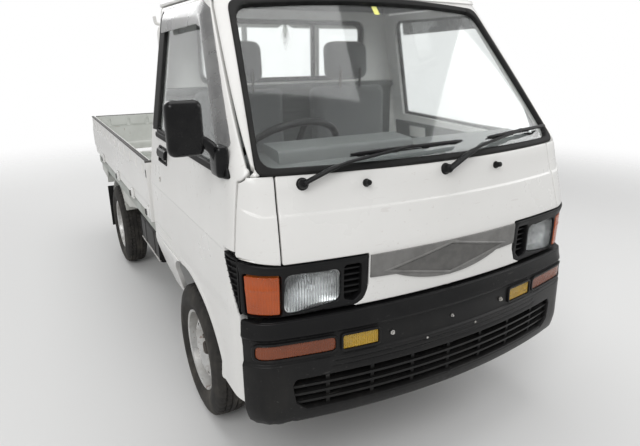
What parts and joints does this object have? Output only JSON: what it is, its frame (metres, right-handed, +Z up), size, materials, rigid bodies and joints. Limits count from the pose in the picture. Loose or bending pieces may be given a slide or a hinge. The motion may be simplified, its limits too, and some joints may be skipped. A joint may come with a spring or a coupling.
{
  "type": "kei truck",
  "caption": "Small cab-over pickup truck with a drop-sided flat bed, hinged cab doors, steered front wheels and free-turning wheels.",
  "frame": {"origin": "on the ground, on the truck's centre plane, halfway between its front and rear ends", "axes": "+X to the truck's left side, +Y to its rear, so that it drives towards -Y, +Z up"},
  "size_m": [1.5115, 3.2949, 1.7369],
  "materials": {
    "white_paint": "weathered white body paint",
    "black_steel": "matt black chassis paint with surface rust",
    "wheel_paint": "worn silver wheel paint with rust",
    "black_plastic": "faded black plastic",
    "grey_plastic": "weathered grey plastic",
    "clear_glass": "slightly green safety glass",
    "lamp_glass": "fluted headlamp glass",
    "amber_plastic": "amber lens",
    "yellow_plastic": "yellow lens",
    "red_plastic": "red lens",
    "black_rubber": "aged black rubber",
    "tyre_rubber": "used tyre rubber",
    "grey_cloth": "woven seat cloth",
    "bare_aluminium": "dull cast aluminium"
  },
  "bodies": {
    "chassis": {"chassis_frame": "black_steel", "cab_floor": "white_paint", "cab_shell": "white_paint", "front_panels": "white_paint", "cab_glass": "clear_glass", "window_rubbers": "black_rubber", "lamp_bezels": "black_plastic", "headlamps": "lamp_glass", "amber_lamps": "amber_plastic", "fog_lamps": "yellow_plastic", "front_bumper": "black_plastic", "garnish_bar": "grey_plastic", "wipers": "black_plastic", "seats": "grey_cloth", "dashboard": "grey_plastic", "cab_controls": "black_plastic", "radiator": "bare_aluminium", "bed_floor": "white_paint", "headboard": "white_paint", "tail_panel": "white_paint", "tail_lamps": "red_plastic", "mudguards": "white_paint", "mud_flaps": "black_rubber", "fuel_tank": "black_steel", "battery_box": "black_plastic", "engine_block": "bare_aluminium", "rear_axle": "black_steel", "leaf_springs": "black_steel", "front_suspension": "black_steel", "spare_wheel": "tyre_rubber"},
    "steering_wheel": {"steering_wheel": "black_plastic"},
    "door_left": {"door_left": "white_paint", "door_left_glass": "clear_glass", "door_left_fittings": "black_plastic"},
    "door_right": {"door_right": "white_paint", "door_right_glass": "clear_glass", "door_right_fittings": "black_plastic"},
    "side_gate_left": {"side_gate_left": "white_paint"},
    "side_gate_right": {"side_gate_right": "white_paint"},
    "tail_gate": {"tail_gate": "white_paint"},
    "knuckle_left": {"knuckle_left": "black_steel"},
    "knuckle_right": {"knuckle_right": "black_steel"},
    "wheel_front_left": {"tyre_front_left": "tyre_rubber", "rim_front_left": "wheel_paint"},
    "wheel_front_right": {"tyre_front_right": "tyre_rubber", "rim_front_right": "wheel_paint"},
    "wheel_rear_left": {"tyre_rear_left": "tyre_rubber", "rim_rear_left": "wheel_paint"},
    "wheel_rear_right": {"tyre_rear_right": "tyre_rubber", "rim_rear_right": "wheel_paint"}
  },
  "joints": [
    {"name": "steer_left", "type": "hinge", "parent": "chassis", "child": "knuckle_left", "pos_m": [0.485, -0.9, 0.2725], "axis": [0, 0, 1], "range_deg": [-35, 35]},
    {"name": "steer_right", "type": "hinge", "parent": "chassis", "child": "knuckle_right", "pos_m": [-0.485, -0.9, 0.2725], "axis": [0, 0, 1], "range_deg": [-35, 35]},
    {"name": "steering_turn", "type": "hinge", "parent": "chassis", "child": "steering_wheel", "pos_m": [-0.32, -1.08, 1.09], "axis": [0, 0.6428, 0.766], "range_deg": [-640, 640]},
    {"name": "front_left_spin", "type": "hinge", "parent": "knuckle_left", "child": "wheel_front_left", "pos_m": [0.6025, -0.9, 0.2725], "axis": [1, 0, 0], "continuous": true},
    {"name": "front_right_spin", "type": "hinge", "parent": "knuckle_right", "child": "wheel_front_right", "pos_m": [-0.6025, -0.9, 0.2725], "axis": [1, 0, 0], "continuous": true},
    {"name": "rear_left_spin", "type": "hinge", "parent": "chassis", "child": "wheel_rear_left", "pos_m": [0.6025, 1, 0.2725], "axis": [1, 0, 0], "continuous": true},
    {"name": "rear_right_spin", "type": "hinge", "parent": "chassis", "child": "wheel_rear_right", "pos_m": [-0.6025, 1, 0.2725], "axis": [1, 0, 0], "continuous": true},
    {"name": "door_left_swing", "type": "hinge", "parent": "chassis", "child": "door_left", "pos_m": [0.692, -1.504, 0.9], "axis": [0, 0, -1], "range_deg": [0, 68]},
    {"name": "door_right_swing", "type": "hinge", "parent": "chassis", "child": "door_right", "pos_m": [-0.692, -1.504, 0.9], "axis": [0, 0, 1], "range_deg": [0, 68]},
    {"name": "side_gate_left_drop", "type": "hinge", "parent": "chassis", "child": "side_gate_left", "pos_m": [0.691, 0.65, 0.684], "axis": [0, 1, 0], "range_deg": [0, 175]},
    {"name": "side_gate_right_drop", "type": "hinge", "parent": "chassis", "child": "side_gate_right", "pos_m": [-0.691, 0.65, 0.684], "axis": [0, -1, 0], "range_deg": [0, 175]},
    {"name": "tail_gate_drop", "type": "hinge", "parent": "chassis", "child": "tail_gate", "pos_m": [0, 1.641, 0.684], "axis": [-1, 0, 0], "range_deg": [0, 175]}
  ],
  "couplings": [
    {"joint": "steer_right", "follows": "steer_left", "ratio": 1},
    {"joint": "steering_turn", "follows": "steer_left", "ratio": 18}
  ]
}
